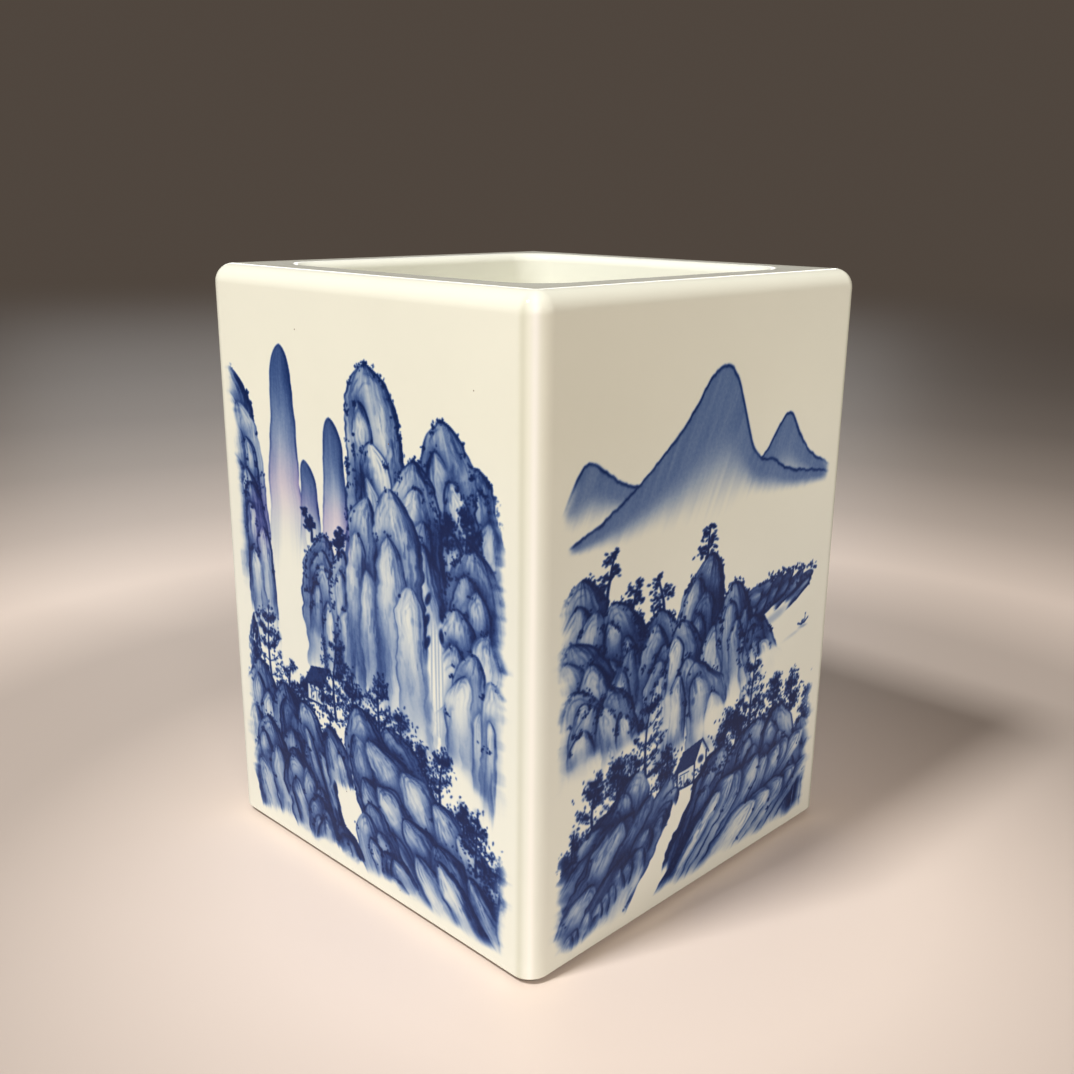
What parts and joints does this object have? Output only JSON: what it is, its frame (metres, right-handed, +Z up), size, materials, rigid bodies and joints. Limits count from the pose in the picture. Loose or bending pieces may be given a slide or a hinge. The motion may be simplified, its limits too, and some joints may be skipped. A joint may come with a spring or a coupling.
{
  "type": "brush pot",
  "caption": "Square porcelain brush pot with thick walls, softly rounded edges, a deep open well, a recessed base and blue landscape painting under clear glaze.",
  "frame": {"origin": "on the table, under the middle of the pot", "axes": "+Z up out of the open mouth; the front side faces -Y, the right side faces +X"},
  "size_m": [0.1, 0.1, 0.13],
  "materials": {
    "bare_clay": "bare fired porcelain body, matt and slightly rough, flushed brown at the foot",
    "joining_slip": "bare fired slip, matt",
    "cobalt_painting": "cobalt blue brushwork and washes under the glaze, matt",
    "outer_glaze": "clear warm white glaze, glossy, with faint pooling and a few dark specks",
    "inner_glaze": "clear glaze with a faint green cast, glossy"
  },
  "bodies": {
    "root": {"base_seam": "joining_slip", "base_slab": "bare_clay", "corner_coil_back_left": "bare_clay", "corner_coil_front_right": "bare_clay", "corner_coil_left_front": "bare_clay", "corner_coil_right_back": "bare_clay", "corner_seam_back_left": "joining_slip", "corner_seam_front_right": "joining_slip", "corner_seam_left_front": "joining_slip", "corner_seam_right_back": "joining_slip", "floor_coil_back": "bare_clay", "floor_coil_front": "bare_clay", "floor_coil_left": "bare_clay", "floor_coil_right": "bare_clay", "glaze_back": "outer_glaze", "glaze_base": "inner_glaze", "glaze_front": "outer_glaze", "glaze_left": "outer_glaze", "glaze_right": "outer_glaze", "glaze_rim": "outer_glaze", "glaze_well": "inner_glaze", "painting_back": "cobalt_painting", "painting_front": "cobalt_painting", "painting_left": "cobalt_painting", "painting_right": "cobalt_painting", "wall_back": "bare_clay", "wall_front": "bare_clay", "wall_left": "bare_clay", "wall_right": "bare_clay"}
  },
  "joints": []
}
